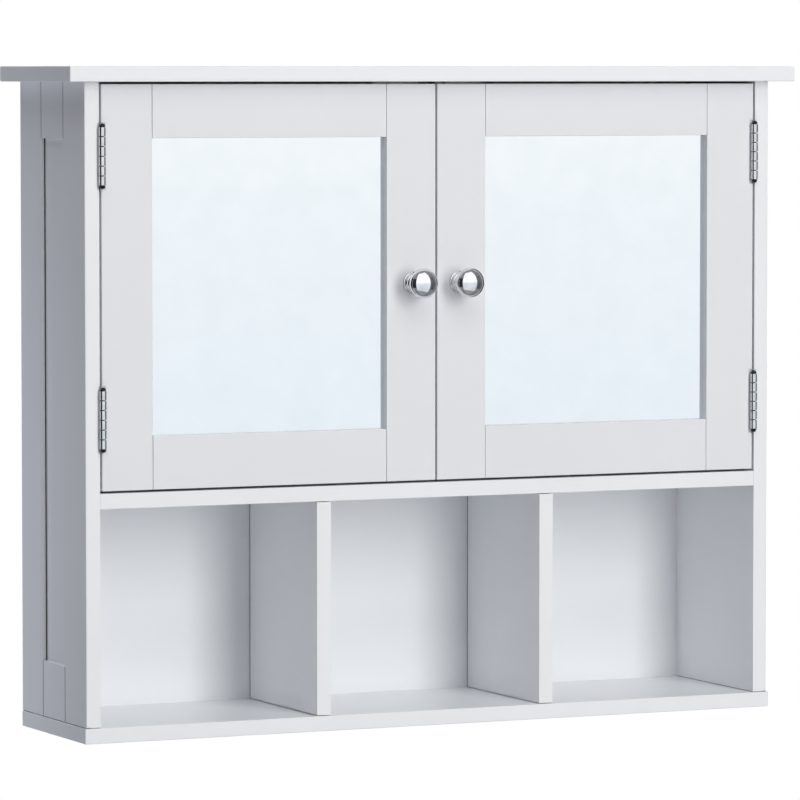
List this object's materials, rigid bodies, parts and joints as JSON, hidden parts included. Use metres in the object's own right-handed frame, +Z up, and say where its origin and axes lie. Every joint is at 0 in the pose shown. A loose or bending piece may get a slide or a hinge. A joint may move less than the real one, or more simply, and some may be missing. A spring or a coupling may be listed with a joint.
{
  "type": "hanging wall cabinet",
  "caption": "White wall-hung cupboard with inset mirrored doors on butt hinges, over a row of open cubbies.",
  "frame": {"origin": "middle of the back face, where the cabinet meets the wall", "axes": "+X to the right seen from the front, +Y into the wall, +Z up; the doors face -Y"},
  "size_m": [0.629, 0.1625, 0.52],
  "materials": {
    "white_paint": "satin white paint on MDF",
    "mirror_glass": "silvered float glass",
    "bare_board": "bare hardboard",
    "chrome": "polished chrome plate",
    "zinc_steel": "bright zinc plate",
    "white_plastic": "moulded white plastic"
  },
  "bodies": {
    "carcass": {"top_panel": "white_paint", "bottom_panel": "white_paint", "fixed_shelf": "white_paint", "divider_left": "white_paint", "divider_right": "white_paint", "back_panel": "white_paint", "hanging_rail": "white_paint", "loose_shelf": "white_paint", "side_left_front_stile": "white_paint", "side_left_rear_stile": "white_paint", "side_left_top_rail": "white_paint", "side_left_bottom_rail": "white_paint", "side_left_board": "white_paint", "hanger_plate_left": "zinc_steel", "shelf_pin_left_front": "zinc_steel", "shelf_pin_left_rear": "zinc_steel", "catch_left": "white_plastic", "hinge_left_upper_frame_leaf": "chrome", "hinge_left_upper_pin": "chrome", "hinge_left_lower_frame_leaf": "chrome", "hinge_left_lower_pin": "chrome", "side_right_front_stile": "white_paint", "side_right_rear_stile": "white_paint", "side_right_top_rail": "white_paint", "side_right_bottom_rail": "white_paint", "side_right_board": "white_paint", "hanger_plate_right": "zinc_steel", "shelf_pin_right_front": "zinc_steel", "shelf_pin_right_rear": "zinc_steel", "catch_right": "white_plastic", "hinge_right_upper_frame_leaf": "chrome", "hinge_right_upper_pin": "chrome", "hinge_right_lower_frame_leaf": "chrome", "hinge_right_lower_pin": "chrome"},
    "door_left": {"door_left_hinge_stile": "white_paint", "door_left_meeting_stile": "white_paint", "door_left_top_rail": "white_paint", "door_left_bottom_rail": "white_paint", "door_left_mirror": "mirror_glass", "door_left_backing": "bare_board", "knob_left": "chrome", "knob_screw_left": "zinc_steel", "strike_plate_left": "zinc_steel", "hinge_left_upper_door_leaf": "chrome", "hinge_left_lower_door_leaf": "chrome"},
    "door_right": {"door_right_hinge_stile": "white_paint", "door_right_meeting_stile": "white_paint", "door_right_top_rail": "white_paint", "door_right_bottom_rail": "white_paint", "door_right_mirror": "mirror_glass", "door_right_backing": "bare_board", "knob_right": "chrome", "knob_screw_right": "zinc_steel", "strike_plate_right": "zinc_steel", "hinge_right_upper_door_leaf": "chrome", "hinge_right_lower_door_leaf": "chrome"}
  },
  "joints": [
    {"name": "door_left_hinge", "type": "hinge", "parent": "carcass", "child": "door_left", "pos_m": [-0.2838, -0.1375, 0.09025], "axis": [0, 0, -1], "range_deg": [0, 175]},
    {"name": "door_right_hinge", "type": "hinge", "parent": "carcass", "child": "door_right", "pos_m": [0.2838, -0.1375, 0.09025], "axis": [0, 0, 1], "range_deg": [0, 175]}
  ]
}
